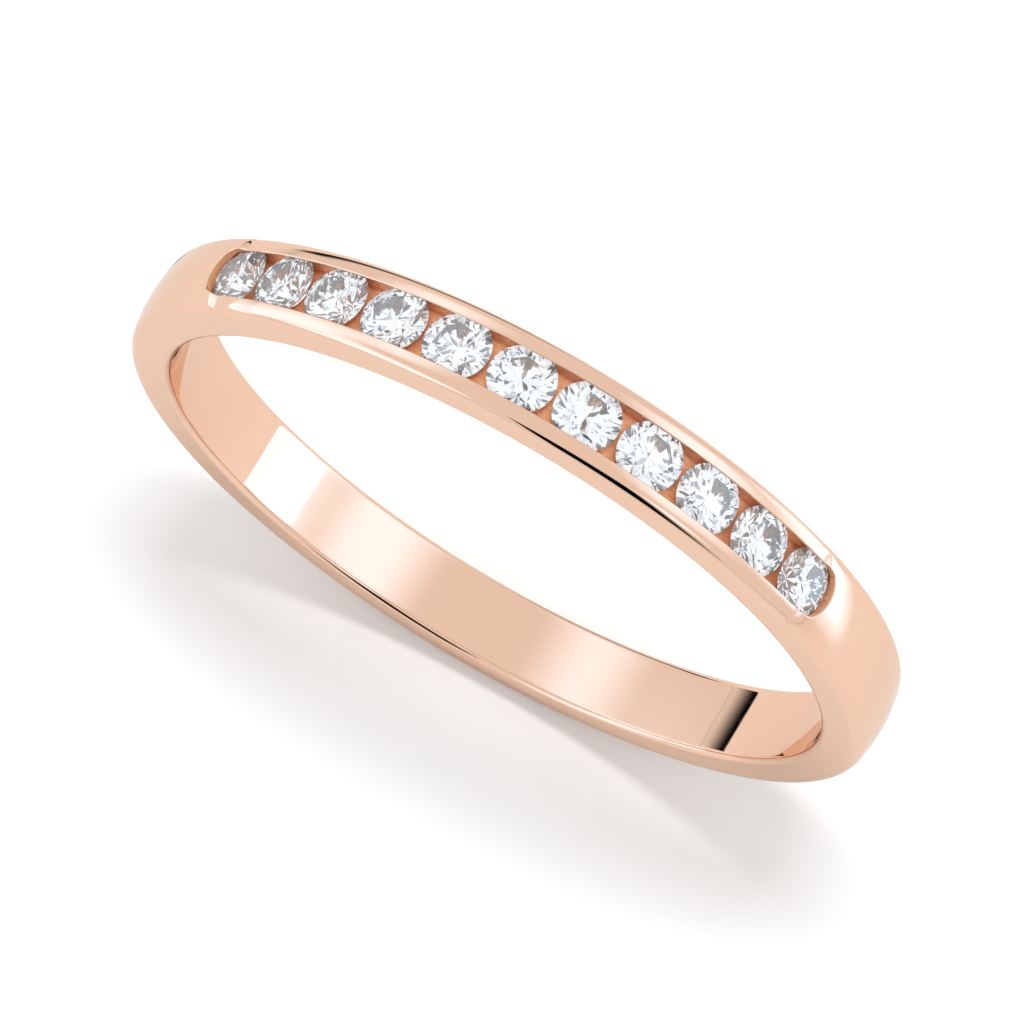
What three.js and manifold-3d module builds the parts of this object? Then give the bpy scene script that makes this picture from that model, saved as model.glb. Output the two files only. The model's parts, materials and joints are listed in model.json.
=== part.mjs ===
// A half-eternity wedding band: a court-section rose gold ring whose top is milled level into two
// rails, with a row of round brilliants held between them in a channel.
//
// Millimetres. The ring stands upright: +Y runs through the finger hole, +Z through the middle
// stone, and the origin is the centre of the finger hole, half way across the band's width.

import * as THREE from "three";
import { ConvexGeometry } from "three/addons/geometries/ConvexGeometry.js";
import { mergeVertices } from "three/addons/utils/BufferGeometryUtils.js";
import Module from "manifold-3d";

const wasm = await Module();
wasm.setup();

const DEGREE = Math.PI / 180;
const QUARTER_TURN = 90 * DEGREE;
const HALF_TURN = 180 * DEGREE;

// Band
const FINGER_RADIUS = 8.5; // a finger hole 17 mm across
const BAND_WIDTH = 2.04;
const SIDE_WALL = 1.0; // the flat sides, from the finger hole to the outer edge, at the bottom
const TOP_THICKENING = 0.06; // how much thicker the band is at its top than at its bottom
const DOME_RISE = 0.15; // how far the court section bulges past its outer edges
const INNER_EDGE_ROUNDING = 0.14;
const OUTER_EDGE_ROUNDING = 0.25;

// Stones
const STONE_COUNT = 11;
const STONE_DIAMETER = 1.52;
const STONE_PITCH = 9.65 * DEGREE; // from one stone to the next, round the band
const TABLE_SHARE = 0.57; // table width, as a share of the stone's diameter
const GIRDLE_SHARE = 0.02; // girdle height, as a share of the stone's diameter
const CROWN_ANGLE = 34.5 * DEGREE;
const PAVILION_ANGLE = 40.75 * DEGREE;
const MAIN_FACETS = 8;
const STAR_LENGTH = 0.5; // how far the star facets reach from the table towards the girdle
const LOWER_HALF_LENGTH = 0.78; // how far the lower halves reach from the girdle to the culet

// Channel
const RAIL_RADIUS = 9.56; // the rails' level top, measured from the finger hole's axis
const RAIL_HALF_ANGLE = 48.2 * DEGREE;
const RUN_OUT_RADIUS = 0.4; // the sweep that lifts the cutter out at each end of the rails
const CHANNEL_WIDTH = 1.2;
const CHANNEL_DEPTH = 0.38;
const CHANNEL_END_OVERLAP = 0.04; // of the channel's rounded ends over the end stones
const TABLE_ABOVE_RAILS = 0.06;
const SEAT_CLEARANCE = 0.02; // between a stone and the seat cut for it
const BACK_HOLE_DIAMETER = 0.8; // the light hole drilled under each stone

// Facets of the round surfaces
const BAND_SEGMENTS = 90;
const OUTLINE_DIVISIONS = 2;
const MILLING_SEGMENTS = 12;
const CUTTER_SEGMENTS = 24;

const OUTER_LIFT = TOP_THICKENING / 2; // of the outer face's centre above the finger hole's
const OUTER_EDGE_RADIUS = FINGER_RADIUS + SIDE_WALL + OUTER_LIFT;
const CREST_RADIUS = OUTER_EDGE_RADIUS + DOME_RISE;
const CLEAR_OF_METAL = 1.0; // how far a cutter reaches past the metal it cuts
const CUTTER_REACH = CREST_RADIUS + OUTER_LIFT + CLEAR_OF_METAL;

const STONE_RADIUS = STONE_DIAMETER / 2;
const TABLE_RADIUS = STONE_RADIUS * TABLE_SHARE;
const HALF_GIRDLE = (STONE_DIAMETER * GIRDLE_SHARE) / 2;
const TABLE_HEIGHT = HALF_GIRDLE + (STONE_RADIUS - TABLE_RADIUS) * Math.tan(CROWN_ANGLE);
const CULET_DEPTH = HALF_GIRDLE + STONE_RADIUS * Math.tan(PAVILION_ANGLE);
const GIRDLE_RING_RADIUS = RAIL_RADIUS + TABLE_ABOVE_RAILS - TABLE_HEIGHT;
const END_STONE_ANGLE = (STONE_PITCH * (STONE_COUNT - 1)) / 2;

const roseGold = new THREE.MeshStandardMaterial({
  color: 0xe6b495,
  roughness: 0.08,
  metalness: 1.0,
});
const diamond = new THREE.MeshStandardMaterial({
  color: 0xf2f4f8,
  roughness: 0.02,
  metalness: 0.0,
});

// A closed geometry as a solid that can be joined and cut: its corners are merged, and the
// triangles that have collapsed to a line are left out.
function solidOf(geometry) {
  const bare = geometry.clone();
  bare.deleteAttribute("normal");
  bare.deleteAttribute("uv");
  const merged = mergeVertices(bare, 1e-4);
  const corners = merged.index.array;
  const kept = [];
  for (let i = 0; i < corners.length; i += 3) {
    const [a, b, c] = corners.slice(i, i + 3);
    if (a !== b && b !== c && c !== a) kept.push(a, b, c);
  }
  return new wasm.Manifold(
    new wasm.Mesh({
      numProp: 3,
      vertProperties: merged.attributes.position.array,
      triVerts: new Uint32Array(kept),
    }),
  );
}

function geometryOf(solid) {
  const { numProp, numVert, vertProperties, triVerts } = solid.getMesh();
  const positions = new Float32Array(numVert * 3);
  for (let i = 0; i < numVert; i++) {
    positions.set(vertProperties.subarray(i * numProp, i * numProp + 3), i * 3);
  }
  const geometry = new THREE.BufferGeometry();
  geometry.setAttribute("position", new THREE.BufferAttribute(positions, 3));
  geometry.setIndex(new THREE.BufferAttribute(triVerts, 1));
  geometry.computeVertexNormals();
  return geometry;
}

// Where a thing made round the Z axis goes on the ring: turned by an angle from the middle stone,
// with its z = 0 plane at a distance from the finger hole's axis.
function placeOnRing(angle, distance) {
  const out = new THREE.Matrix4().makeTranslation(0, 0, distance);
  return new THREE.Matrix4().makeRotationY(angle).multiply(out);
}

// The angle of each stone round the ring.
function stoneAngles() {
  return Array.from({ length: STONE_COUNT }, (_, i) => i * STONE_PITCH - END_STONE_ANGLE);
}

// ---------------------------------------------------------------------------------------- stones

// A round brilliant with its table up and its girdle at z = 0: table, stars, crown mains, upper
// halves, girdle, lower halves and pavilion mains are the faces between these corners.
function brilliantGeometry() {
  const step = (2 * Math.PI) / MAIN_FACETS;
  const flat = Math.cos(step / 2);
  const tableEdge = TABLE_RADIUS * flat;
  const starTip = tableEdge + STAR_LENGTH * (STONE_RADIUS - tableEdge);
  const starZ = TABLE_HEIGHT - (starTip * flat - TABLE_RADIUS) * Math.tan(CROWN_ANGLE);
  const halfTip = STONE_RADIUS * (1 - LOWER_HALF_LENGTH);
  const halfZ = halfTip * flat * Math.tan(PAVILION_ANGLE) - CULET_DEPTH;

  const corners = [new THREE.Vector3(0, 0, -CULET_DEPTH)];
  const add = (radius, angle, z) => {
    corners.push(new THREE.Vector3(radius * Math.cos(angle), radius * Math.sin(angle), z));
  };
  for (let i = 0; i < MAIN_FACETS; i++) {
    const main = i * step;
    const between = main + step / 2;
    add(TABLE_RADIUS, main, TABLE_HEIGHT);
    add(starTip, between, starZ);
    for (const angle of [main, between]) {
      add(STONE_RADIUS, angle, HALF_GIRDLE);
      add(STONE_RADIUS, angle, -HALF_GIRDLE);
    }
    add(halfTip, between, halfZ);
  }
  return new ConvexGeometry(corners);
}

function stones() {
  const group = new THREE.Group();
  const brilliant = brilliantGeometry();
  stoneAngles().forEach((angle, i) => {
    const stone = new THREE.Mesh(brilliant, diamond);
    stone.name = `stone_${String(i + 1).padStart(2, "0")}`;
    stone.rotation.y = angle;
    stone.position.setFromMatrixPosition(placeOnRing(angle, GIRDLE_RING_RADIUS));
    group.add(stone);
  });
  return group;
}

// ------------------------------------------------------------------------------------------ band

// An outline turned about the Y axis: x is the distance from the axis, y runs across the band.
function turned(outline) {
  return solidOf(new THREE.LatheGeometry(outline.getPoints(OUTLINE_DIVISIONS), BAND_SEGMENTS));
}

// The blank without its finger hole: flat sides that meet the court section's shallow dome in
// rounded edges. Its centre is lifted, so that the band comes out thicker at the top.
function courtBlank() {
  const side = BAND_WIDTH / 2;
  const edgeY = side - OUTER_EDGE_ROUNDING;
  const dome = (side * side + DOME_RISE * DOME_RISE) / (2 * DOME_RISE);
  const domeX = CREST_RADIUS - dome;
  const edgeX = domeX + Math.sqrt((dome - OUTER_EDGE_ROUNDING) ** 2 - edgeY ** 2);
  const domeEnd = Math.asin(edgeY / (dome - OUTER_EDGE_ROUNDING));

  const outline = new THREE.Path();
  outline.moveTo(0, -side);
  outline.lineTo(edgeX, -side);
  outline.absarc(edgeX, -edgeY, OUTER_EDGE_ROUNDING, -QUARTER_TURN, -domeEnd, false);
  outline.absarc(domeX, 0, dome, -domeEnd, domeEnd, false);
  outline.absarc(edgeX, edgeY, OUTER_EDGE_ROUNDING, domeEnd, QUARTER_TURN, false);
  outline.lineTo(0, side);
  return turned(outline).translate([0, 0, OUTER_LIFT]);
}

// The finger hole's cutter, which flares at both sides of the band to round the hole's edges.
function fingerBore() {
  const side = BAND_WIDTH / 2;
  const edgeX = FINGER_RADIUS + INNER_EDGE_ROUNDING;
  const edgeY = side - INNER_EDGE_ROUNDING;

  const outline = new THREE.Path();
  outline.moveTo(0, -side - CLEAR_OF_METAL);
  outline.lineTo(edgeX, -side - CLEAR_OF_METAL);
  outline.absarc(edgeX, -edgeY, INNER_EDGE_ROUNDING, -QUARTER_TURN, -HALF_TURN, true);
  outline.absarc(edgeX, edgeY, INNER_EDGE_ROUNDING, HALF_TURN, QUARTER_TURN, true);
  outline.lineTo(edgeX, side + CLEAR_OF_METAL);
  outline.lineTo(0, side + CLEAR_OF_METAL);
  return turned(outline);
}

// An outline drawn looking along +Y, as a solid that reaches past both sides of the band.
function acrossTheBand(outline) {
  const depth = BAND_WIDTH + 2 * CLEAR_OF_METAL;
  const geometry = new THREE.ExtrudeGeometry(outline, {
    depth,
    bevelEnabled: false,
    curveSegments: MILLING_SEGMENTS,
  });
  geometry.rotateX(QUARTER_TURN);
  geometry.translate(0, depth / 2, 0);
  return solidOf(geometry);
}

// The metal milled off the top, which leaves the rails level across the band: its floor is an arc
// round the finger hole's axis that sweeps up and out of the metal at both ends.
function railMilling() {
  const sweepDistance = RAIL_RADIUS + RUN_OUT_RADIUS;
  const sweepX = sweepDistance * Math.sin(RAIL_HALF_ANGLE);
  const sweepY = sweepDistance * Math.cos(RAIL_HALF_ANGLE);
  const left = QUARTER_TURN + RAIL_HALF_ANGLE;
  const right = QUARTER_TURN - RAIL_HALF_ANGLE;

  const outline = new THREE.Shape();
  outline.absarc(0, 0, RAIL_RADIUS, left, right, true);
  outline.absarc(sweepX, sweepY, RUN_OUT_RADIUS, right - HALF_TURN, right - QUARTER_TURN, false);
  outline.lineTo(CUTTER_REACH, CUTTER_REACH);
  outline.lineTo(-CUTTER_REACH, CUTTER_REACH);
  outline.absarc(-sweepX, sweepY, RUN_OUT_RADIUS, left + QUARTER_TURN, left + HALF_TURN, false);
  return acrossTheBand(outline);
}

// A ring-shaped groove as wide as the channel and down to its floor, all the way round.
function channelGroove() {
  const floor = RAIL_RADIUS - CHANNEL_DEPTH;
  const half = CHANNEL_WIDTH / 2;
  const outline = new THREE.Path();
  outline.moveTo(floor, -half);
  outline.lineTo(CUTTER_REACH, -half);
  outline.lineTo(CUTTER_REACH, half);
  outline.lineTo(floor, half);
  outline.closePath();
  return solidOf(new THREE.LatheGeometry(outline.getPoints(), BAND_SEGMENTS));
}

// The stretch between the two end stones' middles, as a wedge from the finger hole's axis.
function stoneRowWedge() {
  const x = CUTTER_REACH * Math.tan(END_STONE_ANGLE);
  const outline = new THREE.Shape();
  outline.moveTo(0, 0);
  outline.lineTo(x, CUTTER_REACH);
  outline.lineTo(-x, CUTTER_REACH);
  outline.closePath();
  return acrossTheBand(outline);
}

// A round cutter that plunges towards the finger hole's axis at an angle round the ring.
function plungeCut(angle, radius, from, to) {
  const geometry = new THREE.CylinderGeometry(radius, radius, to - from, CUTTER_SEGMENTS);
  geometry.rotateX(QUARTER_TURN);
  geometry.applyMatrix4(placeOnRing(angle, (from + to) / 2));
  return solidOf(geometry);
}

// The open channel: the groove, kept between the end stones, with ends concentric with them.
function channel() {
  const endRadius = STONE_RADIUS - CHANNEL_END_OVERLAP;
  let stretch = stoneRowWedge();
  for (const angle of [-END_STONE_ANGLE, END_STONE_ANGLE]) {
    stretch = stretch.add(plungeCut(angle, endRadius, FINGER_RADIUS, CUTTER_REACH));
  }
  return channelGroove().intersect(stretch);
}

// The seat cut for one stone: the stone's own outline with clearance all round, which undercuts
// the rails so that they hold its girdle.
function seat(angle) {
  const gap = SEAT_CLEARANCE;
  const outline = [
    new THREE.Vector2(0, -CULET_DEPTH - gap),
    new THREE.Vector2(STONE_RADIUS + gap, -HALF_GIRDLE),
    new THREE.Vector2(STONE_RADIUS + gap, HALF_GIRDLE),
    new THREE.Vector2(TABLE_RADIUS + gap, TABLE_HEIGHT + gap),
    new THREE.Vector2(0, TABLE_HEIGHT + gap),
  ];
  const geometry = new THREE.LatheGeometry(outline, CUTTER_SEGMENTS);
  geometry.rotateX(QUARTER_TURN);
  geometry.applyMatrix4(placeOnRing(angle, GIRDLE_RING_RADIUS));
  return solidOf(geometry);
}

// The light hole under one stone, from the finger hole up into the stone's seat.
function backHole(angle) {
  const top = GIRDLE_RING_RADIUS - CULET_DEPTH / 2;
  return plungeCut(angle, BACK_HOLE_DIAMETER / 2, FINGER_RADIUS - CLEAR_OF_METAL, top);
}

function band() {
  let metal = courtBlank().subtract(fingerBore()).subtract(railMilling()).subtract(channel());
  for (const angle of stoneAngles()) {
    metal = metal.subtract(seat(angle)).subtract(backHole(angle));
  }
  const mesh = new THREE.Mesh(geometryOf(metal), roseGold);
  mesh.name = "band";
  return mesh;
}

const ring = new THREE.Group();
ring.add(band());
ring.add(stones());

export default ring;
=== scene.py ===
# The looks of the wedding band: a mirror polished rose gold band with a channel of round
# brilliants, on a pale studio table. Lengths here are millimetres until a mesh is made, as in the
# CAD source; angles round the ring are measured from the middle stone, towards +X.
import json
import math

import bmesh
import bpy
from mathutils import Matrix, Vector


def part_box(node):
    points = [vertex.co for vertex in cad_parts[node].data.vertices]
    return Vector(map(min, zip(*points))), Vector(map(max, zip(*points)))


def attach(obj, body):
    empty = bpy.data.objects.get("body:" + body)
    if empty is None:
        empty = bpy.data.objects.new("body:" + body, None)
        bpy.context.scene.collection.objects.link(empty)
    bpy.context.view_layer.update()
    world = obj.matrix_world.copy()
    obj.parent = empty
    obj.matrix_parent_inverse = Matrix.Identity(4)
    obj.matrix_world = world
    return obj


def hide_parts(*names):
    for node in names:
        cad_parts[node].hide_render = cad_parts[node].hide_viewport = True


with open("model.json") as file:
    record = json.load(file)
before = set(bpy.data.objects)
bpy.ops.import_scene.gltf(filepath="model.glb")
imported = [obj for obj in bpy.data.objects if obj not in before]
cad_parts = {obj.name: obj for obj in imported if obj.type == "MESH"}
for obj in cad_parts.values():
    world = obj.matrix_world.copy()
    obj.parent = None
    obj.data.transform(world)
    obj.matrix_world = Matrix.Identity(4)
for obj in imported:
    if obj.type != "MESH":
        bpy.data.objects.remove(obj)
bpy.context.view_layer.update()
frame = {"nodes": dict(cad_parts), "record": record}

MM = 0.001
RECORD = frame["record"]
MOUNTS = {mount["name"]: mount for mount in RECORD["mounts"]}
BAND_LOW, BAND_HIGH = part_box("band")
STONE_NODES = sorted(name for name in frame["nodes"] if name.startswith("stone_"))

# The band, from the frame
FINGER_RADIUS = MOUNTS["finger_hole"]["dims"]["r_mm"]
HALF_WIDTH = BAND_HIGH.y / MM
OUTER_LIFT = 0.03  # of the outer face's centre above the finger hole's
CREST_RADIUS = -BAND_LOW.z / MM + OUTER_LIFT
RAIL_RADIUS = BAND_HIGH.z / MM
STONE_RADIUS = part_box("stone_06")[1].y / MM

# The band's details
DOME_RISE = 0.15
OUTER_EDGE_ROUNDING = 0.27
INNER_EDGE_ROUNDING = 0.14
RAIL_HALF_ANGLE = math.radians(48.2)
RAIL_CROWN_ARC = 2.0  # the rails' faint rounding, from the channel to the outer edge
RUN_OUT_RADIUS = 0.4  # of the cutter's sweep at both ends of the rails
MILLING_SOFTNESS = 0.035  # of the join between the cutter's floor and the blank
CHANNEL_HALF = 0.6
CHANNEL_FLOOR = RAIL_RADIUS - 0.38
CHANNEL_END_OVERLAP = 0.04  # of the channel's rounded ends over the end stones
CHANNEL_LIP_ROUNDING = 0.025
CHANNEL_CORNER_EASING = 12  # the higher, the tighter the corners of the channel's ends
BACK_HOLE_RADIUS = 0.4
SEAT_GAP = 0.02

# The stones' cut
TABLE_SHARE = 0.57
GIRDLE_SHARE = 0.02
CROWN_ANGLE = math.radians(34.5)
PAVILION_ANGLE = math.radians(40.75)
STAR_LENGTH = 0.5
LOWER_HALF_LENGTH = 0.78
MAIN_FACETS = 8
GIRDLE_STEPS = 4

TABLE_RADIUS = STONE_RADIUS * TABLE_SHARE
HALF_GIRDLE = STONE_RADIUS * GIRDLE_SHARE
TABLE_HEIGHT = HALF_GIRDLE + (STONE_RADIUS - TABLE_RADIUS) * math.tan(CROWN_ANGLE)
CULET_DEPTH = HALF_GIRDLE + STONE_RADIUS * math.tan(PAVILION_ANGLE)
CROWN, GIRDLE, PAVILION = 0, 1, 2


# ------------------------------------------------------------------------------------ the frame

def stone_place(node):
    """A stone's angle round the ring, and how far its girdle's plane is from the ring's axis."""
    corners = [vertex.co for vertex in frame["nodes"][node].data.vertices]
    middle = sum(corners, Vector()) / len(corners)
    angle = math.atan2(middle.x, middle.z)
    axis = Vector((math.sin(angle), 0, math.cos(angle)))
    table = max(corner.dot(axis) for corner in corners) / MM
    return angle, table - TABLE_HEIGHT


STONE_PLACES = {node: stone_place(node) for node in STONE_NODES}
STONE_ANGLES = sorted(angle for angle, _ in STONE_PLACES.values())
STONE_PITCH = (STONE_ANGLES[-1] - STONE_ANGLES[0]) / (len(STONE_ANGLES) - 1)
END_STONE_ANGLE = STONE_ANGLES[-1]
GIRDLE_RING_RADIUS = STONE_PLACES[STONE_NODES[0]][1]


def ring_point(angle, across, radius):
    """The point at an angle round the ring, a place across its width and a radius, in metres."""
    return Vector((radius * math.sin(angle), across, radius * math.cos(angle))) * MM


def steps(start, end, count):
    """count + 1 values from start to end, or start alone if count is 0."""
    return [start + (end - start) * i / max(count, 1) for i in range(count + 1)]


def mixed(a, b, share):
    """The value a share of the way from a to b."""
    return a + (b - a) * share


# ---------------------------------------------------------------------------- camera and lights

VIEW_AZIMUTH = math.radians(25.63)
VIEW_ELEVATION = math.radians(71.44)
VIEW_ROLL = math.radians(4.08)
VIEW_DISTANCE = 114.15
VIEW_LENS = 175.8
VIEW_RISE = 0.176  # how far above the finger hole's centre, in the picture, the camera aims


def view_axes():
    """The camera's right, up and backward directions."""
    a, e = VIEW_AZIMUTH, VIEW_ELEVATION
    back = Vector((math.sin(a) * math.cos(e), -math.cos(a) * math.cos(e), math.sin(e)))
    level = Vector((math.cos(a), math.sin(a), 0))
    upright = back.cross(level)
    right = level * math.cos(VIEW_ROLL) + upright * math.sin(VIEW_ROLL)
    return right, back.cross(right), back


def make_camera():
    """A long lens above the ring, a little to its right, aimed near the finger hole's centre."""
    right, up, back = view_axes()
    data = bpy.data.cameras.new("camera")
    data.lens = VIEW_LENS
    data.clip_start = 10 * MM
    data.clip_end = 10.0
    camera = bpy.data.objects.new("camera", data)
    place = Matrix((right, up, back)).transposed().to_4x4()
    place.translation = (up * VIEW_RISE + back * VIEW_DISTANCE) * MM
    camera.matrix_world = place
    bpy.context.scene.collection.objects.link(camera)
    bpy.context.scene.camera = camera


# ------------------------------------------------------------------------------------ materials

def new_material(name):
    material = bpy.data.materials.new(name)
    material.use_nodes = True
    shader = material.node_tree.nodes["Principled BSDF"]
    return material, shader


def add_node(material, kind, inputs=None, **settings):
    """A new node with its settings, and its inputs set to a value or linked to a socket."""
    tree = material.node_tree
    node = tree.nodes.new(kind)
    for key, value in settings.items():
        setattr(node, key, value)
    for key, value in (inputs or {}).items():
        connect(material, node, key, value)
    return node


def connect(material, node, key, value):
    if isinstance(value, bpy.types.NodeSocket):
        material.node_tree.links.new(value, node.inputs[key])
    else:
        node.inputs[key].default_value = value


def position(material, scale=(1, 1, 1)):
    """The object's own coordinates, in millimetres, scaled along each axis."""
    place = add_node(material, "ShaderNodeTexCoord").outputs["Object"]
    factors = [axis / MM for axis in scale]
    mapping = add_node(material, "ShaderNodeMapping", {"Vector": place, "Scale": factors})
    return mapping.outputs["Vector"]


def noise(material, place, scale, detail=2.0):
    inputs = {"Vector": place, "Scale": scale, "Detail": detail}
    return add_node(material, "ShaderNodeTexNoise", inputs).outputs["Fac"]


def ramp(material, value, low, high, from_low=0.3, from_high=0.7):
    """A value from a noise stretched to run from low to high."""
    inputs = {"Value": value, "From Min": from_low, "From Max": from_high}
    inputs.update({"To Min": low, "To Max": high})
    return add_node(material, "ShaderNodeMapRange", inputs).outputs["Result"]


def blend_colour(material, factor, first, second):
    """A colour that runs from the first to the second as the factor goes from 0 to 1."""
    node = add_node(material, "ShaderNodeMix", data_type="RGBA")
    connect(material, node, 0, factor)
    connect(material, node, 6, (*first, 1))
    connect(material, node, 7, (*second, 1))
    return node.outputs[2]


def bump(material, height, distance, strength=1.0):
    inputs = {"Height": height, "Distance": distance * MM, "Strength": strength}
    return add_node(material, "ShaderNodeBump", inputs).outputs["Normal"]


def polished_gold():
    """Mirror polished rose gold, with the faint haze and hairlines that a polishing wheel leaves."""
    material, shader = new_material("polished_rose_gold")
    place = position(material)
    tone = ramp(material, noise(material, place, 0.35), 0, 1)
    connect(material, shader, "Base Color",
            blend_colour(material, tone, (0.92, 0.61, 0.45), (0.94, 0.635, 0.47)))
    haze = ramp(material, noise(material, place, 1.2), 0.02, 0.05)
    connect(material, shader, "Roughness", haze)
    hairlines = noise(material, position(material, (0.4, 14, 0.4)), 6.0, 1.0)
    connect(material, shader, "Normal", bump(material, hairlines, 0.00002))
    connect(material, shader, "Specular Tint", (0.92, 0.87, 0.82, 1))
    connect(material, shader, "Metallic", 1.0)
    return material


def brushed_and_shaded_gold():
    """The channel's cut floor, matt and streaked by the cutter. Its deeper, redder tone than the
    polished gold is painted shade for the recess of the channel.
    """
    material, shader = new_material("brushed_rose_gold_with_painted_shade")
    streaks = noise(material, position(material, (1, 5, 1)), 7.0, 3.0)
    tone = ramp(material, streaks, 0, 1)
    # painted shade: a deeper, redder copy of the gold for the recessed channel; the streaks between
    # its two tones are the cutter's
    connect(material, shader, "Base Color",
            blend_colour(material, tone, (0.84, 0.36, 0.17), (1.0, 0.54, 0.31)))
    grain = noise(material, position(material), 30.0, 2.0)
    connect(material, shader, "Roughness", ramp(material, grain, 0.35, 0.55))
    connect(material, shader, "Normal", bump(material, streaks, 0.01, 0.6))
    connect(material, shader, "Metallic", 0.5)
    connect(material, shader, "Specular IOR Level", 0.1)
    return material


def diamond():
    """A colourless brilliant, with a trace of cool tint and of polish lines on its facets."""
    material, shader = new_material("diamond")
    tone = ramp(material, noise(material, position(material), 2.0), 0, 1)
    connect(material, shader, "Base Color",
            blend_colour(material, tone, (0.98, 0.985, 1.0), (1.0, 1.0, 1.0)))
    polish = noise(material, position(material), 12.0)
    connect(material, shader, "Roughness", ramp(material, polish, 0.0, 0.012))
    connect(material, shader, "Specular Tint", (1.0, 0.88, 0.78, 1))
    connect(material, shader, "IOR", 2.417)
    connect(material, shader, "Transmission Weight", 1.0)
    return material


def mirrored_pavilion_with_painted_glow():
    """The pavilion, which throws back from inside all the light that reaches it. Its faint glow is
    painted light: an emission in place of the light that goes round inside the stone many times."""
    material, shader = new_material("diamond_pavilion_painted_glow")
    tone = ramp(material, noise(material, position(material), 2.0), 0, 1)
    connect(material, shader, "Base Color",
            blend_colour(material, tone, (0.95, 0.96, 0.98), (1.0, 1.0, 1.0)))
    polish = noise(material, position(material), 12.0)
    connect(material, shader, "Roughness", ramp(material, polish, 0.0, 0.012))
    connect(material, shader, "Metallic", 1.0)
    # painted light: a faint glow in place of the light that goes round inside the stone
    connect(material, shader, "Emission Color", (0.97, 0.98, 1.0, 1))
    connect(material, shader, "Emission Strength", ramp(material, polish, 0.04, 0.07))
    return material


def bruted_girdle():
    """The stones' ground edge, frosted and faintly granular."""
    material, shader = new_material("bruted_girdle")
    grain = noise(material, position(material), 60.0)
    connect(material, shader, "Base Color",
            blend_colour(material, grain, (0.82, 0.84, 0.88), (0.97, 0.98, 1.0)))
    connect(material, shader, "Roughness", ramp(material, grain, 0.3, 0.55))
    connect(material, shader, "IOR", 2.417)
    connect(material, shader, "Transmission Weight", 1.0)
    return material


def table_paper():
    """The pale table that the ring stands on, with painted shade where the gold mirrors it: it is
    darker only as seen in reflections.
    """
    material, shader = new_material("pale_table")
    mirrored = add_node(material, "ShaderNodeLightPath").outputs["Is Glossy Ray"]
    # painted shade: the table's colour is darker for glossy rays, so the gold mirrors a dimmer table
    # than the camera sees
    connect(material, shader, "Base Color",
            blend_colour(material, mirrored, (0.94, 0.94, 0.94), (0.79, 0.79, 0.79)))
    grain = noise(material, position(material), 0.02)
    connect(material, shader, "Roughness", ramp(material, grain, 0.85, 0.95))
    return material


# --------------------------------------------------------------------------------------- meshes

WELD_DISTANCE = 0.0001


def welded_mesh(name, points, faces, materials, material_of_each_face):
    """A mesh with the points that meet made one, and its faces turned outwards."""
    mesh = bpy.data.meshes.new(name)
    mesh.from_pydata(points, [], faces)
    for material in materials:
        mesh.materials.append(material)
    mesh.polygons.foreach_set("material_index", material_of_each_face)
    welded = bmesh.new()
    welded.from_mesh(mesh)
    bmesh.ops.remove_doubles(welded, verts=welded.verts, dist=WELD_DISTANCE * MM)
    bmesh.ops.recalc_face_normals(welded, faces=welded.faces)
    welded.to_mesh(mesh)
    welded.free()
    return mesh


def place_piece(mesh, node):
    """The object that shows a mesh in place of a CAD node."""
    piece = bpy.data.objects.new(mesh.name, mesh)
    bpy.context.scene.collection.objects.link(piece)
    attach(piece, "root")
    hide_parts(node)


# ---------------------------------------------------------------------------- the band's surface

ACROSS = 28  # divisions across the band
ALONG = 28  # divisions along one stone's pitch
ALONG_RUN_OUT = 30  # divisions where the rails run out, beside an end stone
ALONG_END = 26  # divisions from there to the end of the shaped top
SHANK_STEPS = 380
RAIL_LAYERS = 14
LIP_STEPS = 4
OUTER_EDGE_STEPS = 14
INNER_EDGE_STEPS = 8
SEAT_FLOOR_STEPS = 5
FINGER_SIDE_STEPS = 8
HOLE_EDGE_STEPS = 3
RUN_OUT_END = RAIL_HALF_ANGLE + math.radians(2.5)
TOP_END = math.radians(58)  # where the shaped top hands over to the plain shank
CREASE_ANGLE = math.radians(38)  # between faces that meet in a sharp edge
QUARTER_TURN = math.radians(90)

INNER_HALF = HALF_WIDTH - INNER_EDGE_ROUNDING
OUTER_HALF = HALF_WIDTH - OUTER_EDGE_ROUNDING
DOME_ARC = (HALF_WIDTH ** 2 + DOME_RISE ** 2) / (2 * DOME_RISE)
# the second finish is the channel's brushed gold, with painted shade in its deeper tone
POLISHED, BRUSHED_AND_SHADED = 0, 1


def dome(across):
    """The court section's height: the radius of its outer face at a place across the band."""
    return CREST_RADIUS - DOME_ARC + math.sqrt(DOME_ARC ** 2 - across ** 2)


def milled(angle):
    """The cutter's floor: level over the rails, then swept up and out at both ends."""
    past = abs(math.remainder(angle, 2 * math.pi)) - RAIL_HALF_ANGLE
    if past <= 0:
        return RAIL_RADIUS
    centre = RAIL_RADIUS + RUN_OUT_RADIUS
    swept = RUN_OUT_RADIUS ** 2 - (centre * math.sin(past)) ** 2
    if swept <= 0:
        return centre
    return centre * math.cos(past) - math.sqrt(swept)


def rail_crown(across):
    """How far the rails have rounded off towards the band's edges."""
    return max(0.0, abs(across) - CHANNEL_HALF) ** 2 / (2 * RAIL_CROWN_ARC)


def blank_radius(angle, across):
    """The court blank's outer face: its dome, centred a little above the finger hole."""
    lift = Vector((OUTER_LIFT * math.cos(angle), OUTER_LIFT * math.sin(angle)))
    return lift.x + math.sqrt(dome(across) ** 2 - lift.y ** 2)


def outer_radius(angle, across):
    """The outer face: the lower of the blank and the cutter's floor, softly joined."""
    a = blank_radius(angle, across)
    b = milled(angle) - rail_crown(across)
    return (a + b - math.sqrt((a - b) ** 2 + MILLING_SOFTNESS ** 2)) / 2


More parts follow.
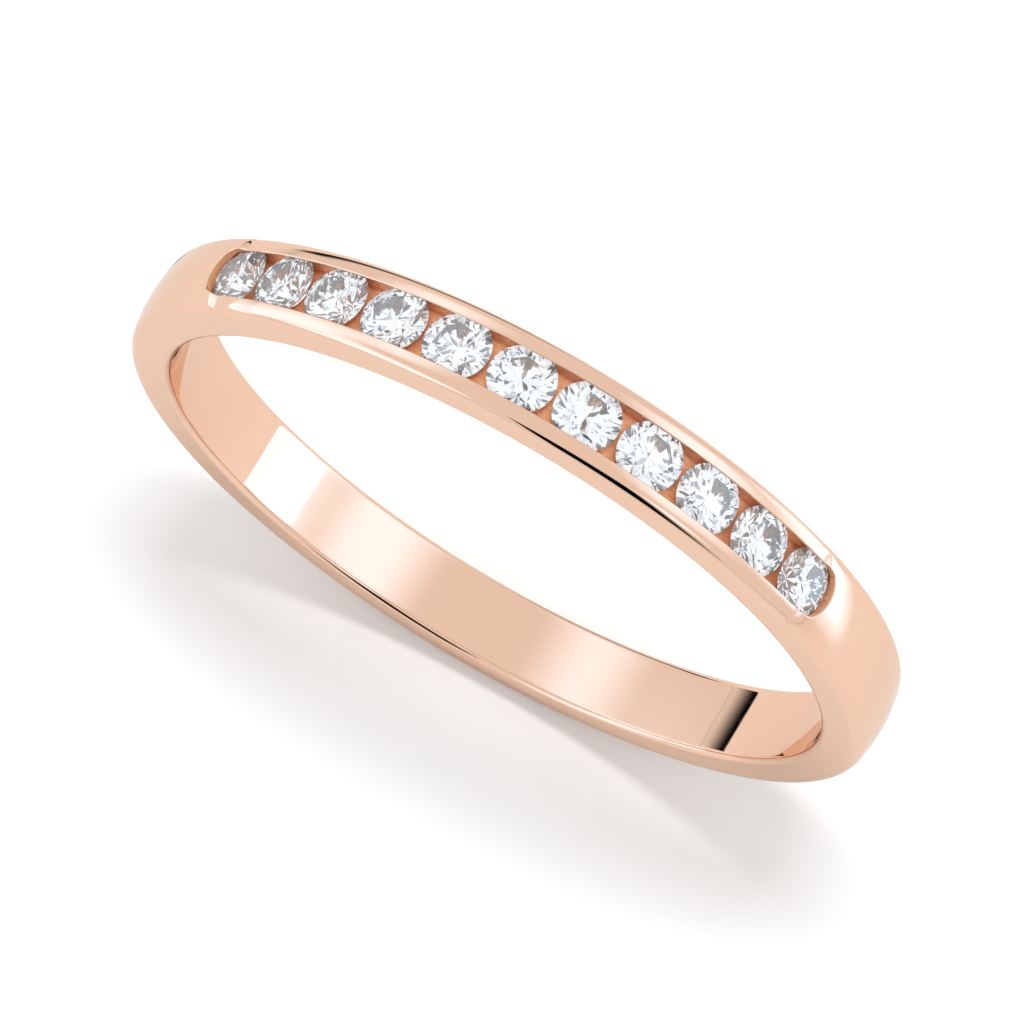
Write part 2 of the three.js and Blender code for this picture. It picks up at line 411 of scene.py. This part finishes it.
class Skin:
    """Patches of surface, gathered and then welded into one mesh."""

    def __init__(self):
        self.points = []
        self.faces = []
        self.finishes = []

    def patch(self, rows, finish=POLISHED, closed=False):
        """Quads between rows of points, which are loops when closed is true."""
        first = len(self.points)
        width = len(rows[0])
        for row in rows:
            self.points.extend(row)
        for r in range(len(rows) - 1):
            for c in range(width if closed else width - 1):
                a = first + r * width + c
                b = first + r * width + (c + 1) % width
                self.faces.append((a, b, b + width, a + width))
                self.finishes.append(finish)

    def mesh(self, name, materials):
        mesh = welded_mesh(name, self.points, self.faces, materials, self.finishes)
        mesh.shade_smooth()
        mesh.set_sharp_from_angle(angle=CREASE_ANGLE)
        return mesh


def end_columns():
    """Angles from an end stone's middle to the end of the shaped top, close together where the
    rails run out."""
    close = steps(END_STONE_ANGLE, RUN_OUT_END, ALONG_RUN_OUT)
    return close + steps(RUN_OUT_END, TOP_END, ALONG_END)[1:]


def top_columns(first, last):
    """Angles along the shaped top from one stone's cell to another's, by their numbers."""
    if first == 0:
        columns = [-angle for angle in reversed(end_columns())]
    else:
        start = STONE_ANGLES[first] - STONE_PITCH / 2
        columns = steps(start, STONE_ANGLES[first], ALONG // 2)
    columns += steps(STONE_ANGLES[first], STONE_ANGLES[last], (last - first) * ALONG)[1:]
    if last == len(STONE_ANGLES) - 1:
        return columns + end_columns()[1:]
    end = STONE_ANGLES[last] + STONE_PITCH / 2
    return columns + steps(STONE_ANGLES[last], end, ALONG // 2)[1:]


def frame_loop(columns):
    """A closed loop round a stretch of the top: (angle, share of the half width) pairs."""
    shares = steps(-1, 1, ACROSS)
    near = [(angle, -1) for angle in columns[:-1]]
    right = [(columns[-1], share) for share in shares[:-1]]
    far = [(angle, 1) for angle in columns[:0:-1]]
    left = [(columns[0], share) for share in shares[:0:-1]]
    return near + right + far + left


def channel_point(angle, share):
    """The point of the channel's outline that faces a point of the frame loop round it. Past an
    end stone the outline is an arc concentric with the stone, eased into the straight walls."""
    past = (abs(angle) - END_STONE_ANGLE) / (TOP_END - END_STONE_ANGLE)
    if past <= 0:
        return angle, share * CHANNEL_HALF
    turn = share * QUARTER_TURN * (1 - past / 2)
    arc = STONE_RADIUS - CHANNEL_END_OVERLAP
    easing = CHANNEL_CORNER_EASING
    wall = CHANNEL_HALF / max(abs(math.sin(turn)), 1e-6)
    at_wall = (1 + (CHANNEL_HALF / arc) ** easing) ** (1 / easing)
    reach = (wall ** -easing + arc ** -easing) ** (-1 / easing) * mixed(1, at_wall, abs(share))
    along = END_STONE_ANGLE + reach * math.cos(turn) / RAIL_RADIUS
    return math.copysign(along, angle), reach * math.sin(turn)


def widened(loop, offsets):
    """A loop moved outwards, in the surface, by each point's own offset."""
    moved = []
    for i, (angle, across) in enumerate(loop):
        before, after = loop[i - 1], loop[(i + 1) % len(loop)]
        along = Vector(((after[0] - before[0]) * RAIL_RADIUS, after[1] - before[1]))
        along.normalize()
        outwards = Vector((along.y, -along.x)) * offsets[i]
        moved.append((angle + outwards.x / RAIL_RADIUS, across + outwards.y))
    return moved


def blended(first, second, share):
    """A loop part of the way from one loop to another."""
    return [(mixed(a[0], b[0], share), mixed(a[1], b[1], share))
            for a, b in zip(first, second)]


def between(first, second, count, radius):
    """Loops of points from one loop to another, kept at a radius from the ring's axis."""
    loops = []
    for share in steps(0, 1, count):
        loops.append([])
        for a, b in zip(first, second):
            point = a.lerp(b, share)
            flat = Vector((point.x, 0, point.z)).normalized() * radius * MM
            loops[-1].append(Vector((flat.x, point.y, flat.z)))
    return loops


def at_radius(loop, radius):
    """A loop's points at one radius from the ring's axis."""
    return [ring_point(angle, across, radius) for angle, across in loop]


def on_outer_face(loop, drop=0.0):
    """A loop's points on the outer face, or a drop below it."""
    return [ring_point(angle, across, outer_radius(angle, across) - drop)
            for angle, across in loop]


def add_rails(skin):
    """The level rails round the channel and the ends where they run out into the shoulders, then
    the channel's rounded lip, its undercut walls and the edge of its floor."""
    frame_round = frame_loop(top_columns(0, len(STONE_ANGLES) - 1))
    outline = [channel_point(angle, share) for angle, share in frame_round]
    outside = [(angle, share * OUTER_HALF) for angle, share in frame_round]
    rounding = CHANNEL_LIP_ROUNDING
    lip = widened(outline, [rounding] * len(outline))
    layers = [on_outer_face(blended(outside, lip, share)) for share in steps(0, 1, RAIL_LAYERS)]
    for turn in steps(0, QUARTER_TURN, LIP_STEPS)[1:]:
        inset = widened(outline, [rounding * (1 - math.sin(turn))] * len(outline))
        layers.append(on_outer_face(inset, rounding * (1 - math.cos(turn))))
    skin.patch(layers, POLISHED, closed=True)

    girdle_top = GIRDLE_RING_RADIUS + HALF_GIRDLE
    undercut = STONE_RADIUS + SEAT_GAP - CHANNEL_HALF
    lip_bottom = girdle_top + undercut * math.tan(CROWN_ANGLE)
    end_share = (CHANNEL_END_OVERLAP + SEAT_GAP) / undercut
    fades = [mixed(end_share, 1, min(1.0, abs(across) / CHANNEL_HALF) ** 2)
             for _, across in outline]
    profile = [(0, lip_bottom), (undercut, girdle_top), (undercut, GIRDLE_RING_RADIUS - SEAT_GAP),
               (0, CHANNEL_FLOOR + SEAT_GAP), (0, CHANNEL_FLOOR)]
    walls = [layers[-1]]
    for depth, radius in profile:
        walls.append(at_radius(widened(outline, [depth * fade for fade in fades]), radius))
    skin.patch(walls, BRUSHED_AND_SHADED, closed=True)


def add_seat(skin, number):
    """One stone's stretch of the channel floor, its conical seat, the light hole under it and the
    finger side round the hole."""
    centre = STONE_ANGLES[number]
    frame_round = frame_loop(top_columns(number, number))
    floor = [channel_point(angle, share) for angle, share in frame_round]
    finger_side = [(angle, share * INNER_HALF) for angle, share in frame_round]
    bearings = [math.atan2(across, (angle - centre) * CHANNEL_FLOOR) for angle, across in floor]

    def circle(radius, height):
        return at_radius([(centre + radius * math.cos(bearing) / height,
                           radius * math.sin(bearing)) for bearing in bearings], height)

    culet = GIRDLE_RING_RADIUS - CULET_DEPTH
    slope = math.tan(PAVILION_ANGLE)
    seat_top = (CHANNEL_FLOOR - culet) / slope + SEAT_GAP
    hole_top = culet + (BACK_HOLE_RADIUS - SEAT_GAP) * slope
    rounding = CHANNEL_LIP_ROUNDING
    rim = circle(seat_top, CHANNEL_FLOOR)
    layers = between(at_radius(floor, CHANNEL_FLOOR), rim, SEAT_FLOOR_STEPS, CHANNEL_FLOOR)
    layers.append(circle(BACK_HOLE_RADIUS, hole_top))
    layers.append(circle(BACK_HOLE_RADIUS, FINGER_RADIUS + rounding))
    skin.patch(layers, BRUSHED_AND_SHADED, closed=True)

    mouth = [layers[-1]]
    for turn in steps(0, QUARTER_TURN, HOLE_EDGE_STEPS)[1:]:
        mouth.append(circle(BACK_HOLE_RADIUS + rounding * (1 - math.cos(turn)),
                            FINGER_RADIUS + rounding * (1 - math.sin(turn))))
    flat = between(circle(BACK_HOLE_RADIUS + rounding, FINGER_RADIUS),
                   at_radius(finger_side, FINGER_RADIUS), FINGER_SIDE_STEPS, FINGER_RADIUS)
    skin.patch(mouth + flat[1:], POLISHED, closed=True)


def edge_profile(angle, side):
    """Points from the outer face over the rounded edge, down the flat side and round the inner
    edge to the finger side, at one angle."""
    start = outer_radius(angle, OUTER_HALF)
    probe = 0.01
    slope = (start - outer_radius(angle, OUTER_HALF - probe)) / probe
    corner = start + slope * OUTER_EDGE_ROUNDING
    end = blank_radius(angle, HALF_WIDTH) - OUTER_EDGE_ROUNDING
    points = []
    for t in steps(0, 1, OUTER_EDGE_STEPS):
        across = OUTER_HALF + OUTER_EDGE_ROUNDING * (1 - (1 - t) ** 2)
        radius = (1 - t) ** 2 * start + 2 * t * (1 - t) * corner + t ** 2 * end
        points.append((across, radius))
    inner_start = FINGER_RADIUS + INNER_EDGE_ROUNDING
    support = 0.02  # how near the flat side's outer and inner rows are to its rounded edges
    points += [(HALF_WIDTH, end - support), (HALF_WIDTH, mixed(end, inner_start, 0.5)),
               (HALF_WIDTH, inner_start + support)]
    for turn in steps(0, QUARTER_TURN, INNER_EDGE_STEPS):
        points.append((INNER_HALF + INNER_EDGE_ROUNDING * math.cos(turn),
                       inner_start - INNER_EDGE_ROUNDING * math.sin(turn)))
    return [ring_point(angle, side * across, radius) for across, radius in points]


def add_sides(skin):
    """Both sides of the band with their rounded edges, all the way round."""
    columns = top_columns(0, len(STONE_ANGLES) - 1) + shank_columns()[1:]
    for side in (-1, 1):
        skin.patch([edge_profile(angle, side) for angle in columns])


def shank_columns():
    return steps(TOP_END, 2 * math.pi - TOP_END, SHANK_STEPS)


def add_shank(skin):
    """The plain shank's domed outer face and flat finger side."""
    shares = steps(-1, 1, ACROSS)
    skin.patch([on_outer_face([(angle, share * OUTER_HALF) for share in shares])
                for angle in shank_columns()])
    skin.patch([at_radius([(angle, share * INNER_HALF) for share in shares], FINGER_RADIUS)
                for angle in shank_columns()])


def make_band():
    skin = Skin()
    add_rails(skin)
    for number in range(len(STONE_ANGLES)):
        add_seat(skin, number)
    add_sides(skin)
    add_shank(skin)
    mesh = skin.mesh("gold_band", [polished_gold(), brushed_and_shaded_gold()])
    place_piece(mesh, "band")


# ------------------------------------------------------------------------------------- diamonds

def brilliant():
    """A round brilliant's facets, table up and girdle at z = 0: its corners and its faces, and
    each face's part of the stone, CROWN, GIRDLE or PAVILION."""
    step = 2 * math.pi / MAIN_FACETS
    flat = math.cos(step / 2)
    table_edge = TABLE_RADIUS * flat
    star_tip = mixed(table_edge, STONE_RADIUS, STAR_LENGTH)
    star_z = TABLE_HEIGHT - (star_tip * flat - TABLE_RADIUS) * math.tan(CROWN_ANGLE)
    half_tip = STONE_RADIUS * (1 - LOWER_HALF_LENGTH)
    half_z = half_tip * flat * math.tan(PAVILION_ANGLE) - CULET_DEPTH
    corners, faces, parts = [], [], []

    def face(part, *around):
        faces.append(around)
        parts.append(part)

    def corner(radius, turn, z):
        corners.append(Vector((radius * math.cos(turn), radius * math.sin(turn), z)))
        return len(corners) - 1

    def girdle_arc(main, side, tip_radius, tip_z, z):
        """Girdle points from a main facet's corner half a step round, where the plane through
        both ends of the arc and the tip meets the round edge."""
        points = []
        middle = main + side * step / 4
        fall = (tip_z - z) / (STONE_RADIUS * math.cos(step / 4)
                              - tip_radius * math.cos(step / 4))
        for turn in steps(0, step / 2, GIRDLE_STEPS):
            bearing = main + side * turn
            beyond = STONE_RADIUS * (math.cos(bearing - middle) - math.cos(step / 4))
            points.append(corner(STONE_RADIUS, bearing, z - fall * beyond))
        return points

    mains = [i * step for i in range(MAIN_FACETS)]
    table = [corner(TABLE_RADIUS, main, TABLE_HEIGHT) for main in mains]
    stars = [corner(star_tip, main + step / 2, star_z) for main in mains]
    tips = [corner(half_tip, main + step / 2, half_z) for main in mains]
    culet = corner(0, 0, -CULET_DEPTH)
    face(CROWN, *table)
    for i, main in enumerate(mains):
        star, last_star = stars[i], stars[i - 1]
        tip, last_tip = tips[i], tips[i - 1]
        face(CROWN, table[i], star, table[(i + 1) % MAIN_FACETS])
        above = [girdle_arc(main, side, star_tip, star_z, HALF_GIRDLE) for side in (1, -1)]
        below = [girdle_arc(main, side, half_tip, half_z, -HALF_GIRDLE) for side in (1, -1)]
        face(CROWN, table[i], last_star, above[0][0], star)
        face(CROWN, star, *above[0])
        face(CROWN, last_star, *above[1])
        face(PAVILION, culet, last_tip, below[0][0], tip)
        face(PAVILION, tip, *below[0])
        face(PAVILION, last_tip, *below[1])
        for upper, lower in zip(above, below):
            for k in range(GIRDLE_STEPS):
                face(GIRDLE, upper[k], upper[k + 1], lower[k + 1], lower[k])
    return corners, faces, parts


def make_stone(node, number, materials):
    """One stone at its CAD node's place, each turned in its seat by a further golden angle."""
    angle, radius = STONE_PLACES[node]
    corners, faces, parts = brilliant()
    golden_turn = math.radians(137.5)
    place = (Matrix.Rotation(angle, 4, "Y")
             @ Matrix.Translation((0, 0, radius))
             @ Matrix.Rotation(number * golden_turn, 4, "Z"))
    placed = [(place @ corner) * MM for corner in corners]
    mesh = welded_mesh(node.replace("stone", "diamond"), placed, faces, materials, parts)
    place_piece(mesh, node)


# --------------------------------------------------------------------------------------- studio

STUDIO_WHITE = 0.86
LAMP_SCALE = 13.0
LAMP_BRIGHT = 1.1
LAMP_NOISE_DARK, LAMP_NOISE_BRIGHT = 0.34, 0.46


def make_world():
    """White all round. What the stones refract is broken into bright and dark patches, as by the
    many small lamps that jewellers show diamonds under."""
    world = bpy.data.worlds.new("studio")
    world.use_nodes = True
    direction = add_node(world, "ShaderNodeTexCoord").outputs["Generated"]
    patches = noise(world, direction, LAMP_SCALE, 1.0)
    lamps = ramp(world, patches, 0, LAMP_BRIGHT, LAMP_NOISE_DARK, LAMP_NOISE_BRIGHT)
    in_stones = add_node(world, "ShaderNodeLightPath").outputs["Is Transmission Ray"]
    inputs = {0: in_stones, 2: STUDIO_WHITE, 3: lamps}
    strength = add_node(world, "ShaderNodeMix", inputs, data_type="FLOAT")
    background = world.node_tree.nodes["Background"]
    connect(world, background, "Color", (1.0, 1.0, 1.0, 1))
    connect(world, background, "Strength", strength.outputs[0])
    bpy.context.scene.world = world


def flat_mesh(name, width, depth, material):
    """A rectangle in its own XY plane."""
    x, y = width / 2 * MM, depth / 2 * MM
    mesh = bpy.data.meshes.new(name)
    mesh.from_pydata([(-x, -y, 0), (x, -y, 0), (x, y, 0), (-x, y, 0)], [], [(0, 1, 2, 3)])
    mesh.materials.append(material)
    item = bpy.data.objects.new(name, mesh)
    bpy.context.scene.collection.objects.link(item)
    return item


def make_table():
    side = 4000
    table = flat_mesh("table", side, side, table_paper())
    table.location.z = BAND_LOW.z


def soft_mask(material, fades):
    """One over a card's middle, falling smoothly to zero at its left, right, bottom and top
    edges, each over its own share of the card."""
    place = add_node(material, "ShaderNodeTexCoord").outputs["Generated"]
    split = add_node(material, "ShaderNodeSeparateXYZ", {0: place})
    mask = None
    for i, fade in enumerate(fades):
        start, end = (0, fade) if i % 2 == 0 else (1, 1 - fade)
        inputs = {"Value": split.outputs[i // 2], "From Min": start, "From Max": end}
        edge = add_node(material, "ShaderNodeMapRange", inputs, interpolation_type="SMOOTHSTEP")
        if mask is None:
            mask = edge.outputs["Result"]
        else:
            both = add_node(material, "ShaderNodeMath", {0: mask, 1: edge.outputs["Result"]},
                            operation="MULTIPLY")
            mask = both.outputs[0]
    return mask


def card_material(name, fades, strength, colour):
    """Light that a card adds to what is behind it, or, without strength, black that hides it."""
    material = bpy.data.materials.new(name)
    material.use_nodes = True
    tree = material.node_tree
    tree.nodes.clear()
    mask = soft_mask(material, fades)
    clear = add_node(material, "ShaderNodeBsdfTransparent").outputs[0]
    if strength:
        glow = add_node(material, "ShaderNodeMath", {0: mask, 1: strength}, operation="MULTIPLY")
        light = add_node(material, "ShaderNodeEmission",
                         {"Color": (*colour, 1), "Strength": glow.outputs[0]}).outputs[0]
        surface = add_node(material, "ShaderNodeAddShader", {0: clear, 1: light})
    else:
        black = add_node(material, "ShaderNodeEmission", {"Strength": 0.0}).outputs[0]
        surface = add_node(material, "ShaderNodeMixShader", {0: mask, 1: clear, 2: black})
    output = add_node(material, "ShaderNodeOutputMaterial")
    tree.links.new(surface.outputs[0], output.inputs["Surface"])
    return material


def card(name, towards, distance, size, fades, strength=0.0, colour=(1, 1, 1)):
    """A card that only shows in reflections. It faces the ring from a direction, and the fades
    are those of its left, right, bottom and top, each a share of its size, as seen from the
    ring."""
    item = flat_mesh(name, *size, card_material(name, fades, strength, colour))
    back = Vector(towards).normalized()
    item.location = back * distance * MM
    item.rotation_euler = (-back).to_track_quat("Z", "Y").to_euler()
    item.visible_camera = False
    item.visible_diffuse = False
    item.visible_transmission = False
    item.visible_shadow = False


def make_cards():
    """Soft boxes at both sides, which give the pale highlights on the rails and shoulders, and
    black flags for the dark lines on the rounded edges and the notch on the finger side."""
    cool = (0.4, 0.66, 1.0)
    card("right_soft_box", (0.83, 0.55, 0.1), 56, (50, 50), (0.4, 0.12, 0.02, 0.5), 1.25, cool)
    card("low_soft_box", (1, 0.33, 0.03), 31, (20, 12), (0.3, 0.3, 0.35, 0.2), 0.9, cool)
    card("upper_soft_box", (0.62, 0.38, 0.68), 100, (100, 90), (0.4, 0.4, 0.4, 0.4), 0.95, cool)
    card("front_right_box", (0.65, -0.36, 0.68), 100, (50, 50), (0.4, 0.4, 0.4, 0.4), 0.9, cool)
    card("left_soft_box", (-1, -0.1, 0.27), 100, (90, 120), (0.3, 0.25, 0.1, 0.35), 1.0, cool)
    card("front_left_box", (-0.75, -0.75, 0.4), 100, (100, 80), (0.1, 0.4, 0.3, 0.3), 1.0, cool)
    card("left_top_soft_box", (-0.6, 0.3, 0.74), 150, (170, 120), (0.4, 0.4, 0.5, 0.5), 0.8, cool)
    card("front_flag", (0.45, -1, 0.62), 124, (120, 101), (0.35, 0.05, 0.04, 0.15))
    card("back_flag", (-0.6, 1, 0.1), 110, (150, 44), (0.1, 0.3, 0.3, 0.5))
    card("low_flag", (-12.5, 5.7, -7.8), 15.8, (3.4, 4), (0.1, 0.1, 0.02, 0.9))


def soft_light(name, towards, distance, width, height, power):
    """A rectangular light that casts the ring's soft shadow, with its power in watts."""
    data = bpy.data.lights.new(name, "AREA")
    data.shape = "RECTANGLE"
    data.size = width * MM
    data.size_y = height * MM
    data.energy = power
    light = bpy.data.objects.new(name, data)
    back = Vector(towards).normalized()
    light.location = back * distance * MM
    light.rotation_euler = back.to_track_quat("Z", "Y").to_euler()
    light.visible_camera = False
    light.visible_glossy = False
    light.visible_transmission = False
    bpy.context.scene.collection.objects.link(light)


def set_tone():
    """Plain colours, so that a white table stays white."""
    view = bpy.context.scene.view_settings
    view.view_transform = "Standard"
    view.look = "None"


make_camera()
set_tone()
make_world()
make_table()
make_cards()
soft_light("key", (0, 0.17, 1), 300, 110, 50, 0.37)
make_band()
stone_materials = [diamond(), bruted_girdle(), mirrored_pavilion_with_painted_glow()]
for number, node in enumerate(STONE_NODES):
    make_stone(node, number, stone_materials)
